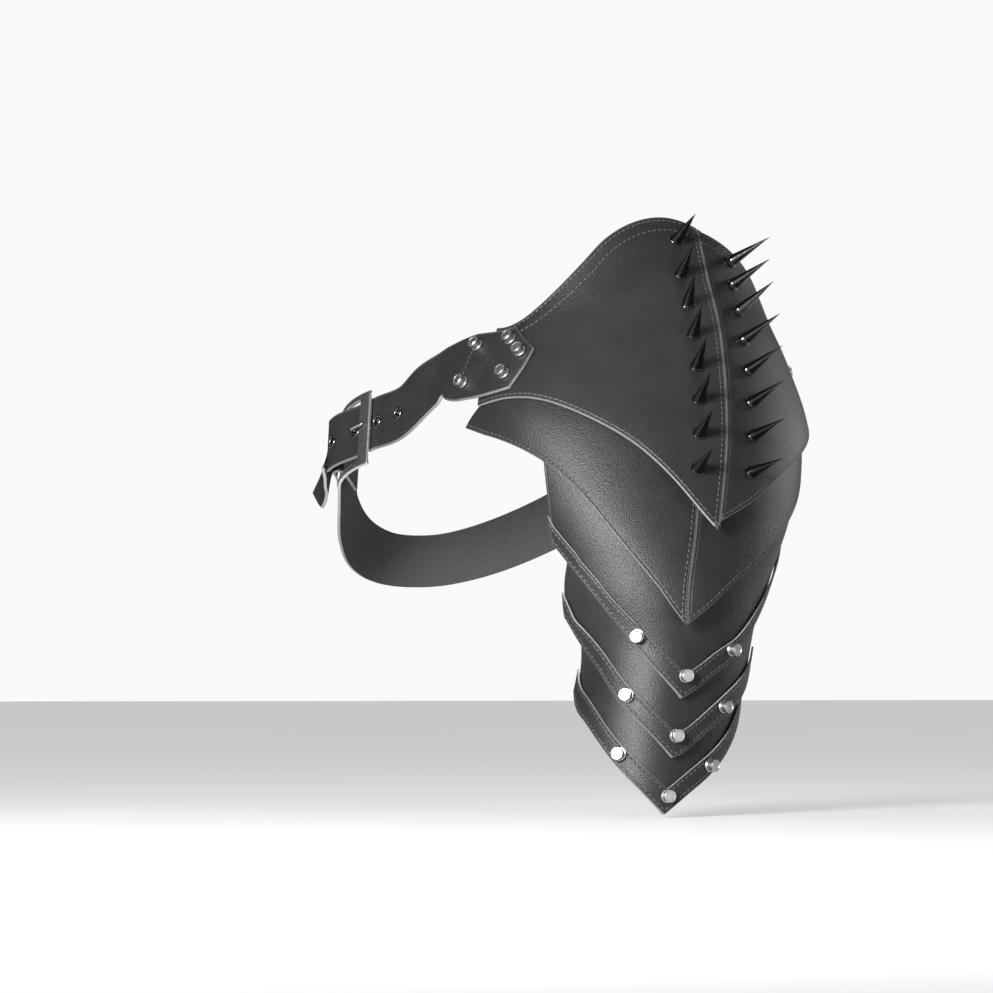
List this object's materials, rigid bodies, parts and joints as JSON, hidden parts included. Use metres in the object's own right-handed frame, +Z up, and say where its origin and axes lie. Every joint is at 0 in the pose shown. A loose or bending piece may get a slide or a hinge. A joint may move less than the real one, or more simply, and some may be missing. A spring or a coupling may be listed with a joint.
{
  "type": "shoulder harness",
  "caption": "Left shoulder harness of black leather: a peaked plate with cone spikes, a second plate, arm lames and a buckled strap round the chest.",
  "frame": {"origin": "the shoulder seat: on top of the wearer's left shoulder, under the upper plate's ridge, beside its neck edge", "axes": "+X outwards along the wearer's left arm side, -Y the wearer's front, +Z up"},
  "size_m": [0.4689, 0.2726, 0.4084],
  "materials": {
    "black_leather": "fine grained, satin",
    "border_leather": "fine grained, satin",
    "strap_leather": "fine grained, matt to satin",
    "black_chrome": "dark polished",
    "satin_steel": "satin",
    "buckle_nickel": "satin, bright edges",
    "gunmetal": "dark polished"
  },
  "bodies": {
    "root": {"band_lower": "border_leather", "band_middle": "border_leather", "band_upper": "border_leather", "body_strap": "strap_leather", "buckle_frame": "buckle_nickel", "buckle_prong": "buckle_nickel", "cap_back_panel": "black_leather", "cap_front_panel": "black_leather", "chest_strap": "strap_leather", "eyelet_1": "gunmetal", "eyelet_2": "gunmetal", "eyelet_3": "gunmetal", "eyelet_4": "gunmetal", "head_stud_back_1": "satin_steel", "head_stud_back_2": "satin_steel", "head_stud_back_3": "satin_steel", "head_stud_back_4": "satin_steel", "head_stud_back_5": "satin_steel", "head_stud_front_1": "satin_steel", "head_stud_front_2": "satin_steel", "head_stud_front_3": "satin_steel", "head_stud_front_4": "satin_steel", "head_stud_front_5": "satin_steel", "hidden_rivet_back": "satin_steel", "hidden_rivet_front": "satin_steel", "lame_lower": "black_leather", "lame_middle": "black_leather", "lame_upper": "black_leather", "mid_back_panel": "black_leather", "mid_front_panel": "black_leather", "spike_back_1": "black_chrome", "spike_back_2": "black_chrome", "spike_back_3": "black_chrome", "spike_back_4": "black_chrome", "spike_back_5": "black_chrome", "spike_back_6": "black_chrome", "spike_back_7": "black_chrome", "spike_back_8": "black_chrome", "spike_front_1": "black_chrome", "spike_front_2": "black_chrome", "spike_front_3": "black_chrome", "spike_front_4": "black_chrome", "spike_front_5": "black_chrome", "spike_front_6": "black_chrome", "spike_front_7": "black_chrome", "spike_front_8": "black_chrome", "stud_lower_back": "satin_steel", "stud_lower_front": "satin_steel", "stud_lower_point": "satin_steel", "stud_middle_back": "satin_steel", "stud_middle_front": "satin_steel", "stud_middle_point": "satin_steel", "stud_upper_back": "satin_steel", "stud_upper_front": "satin_steel", "stud_upper_point": "satin_steel"}
  },
  "joints": []
}
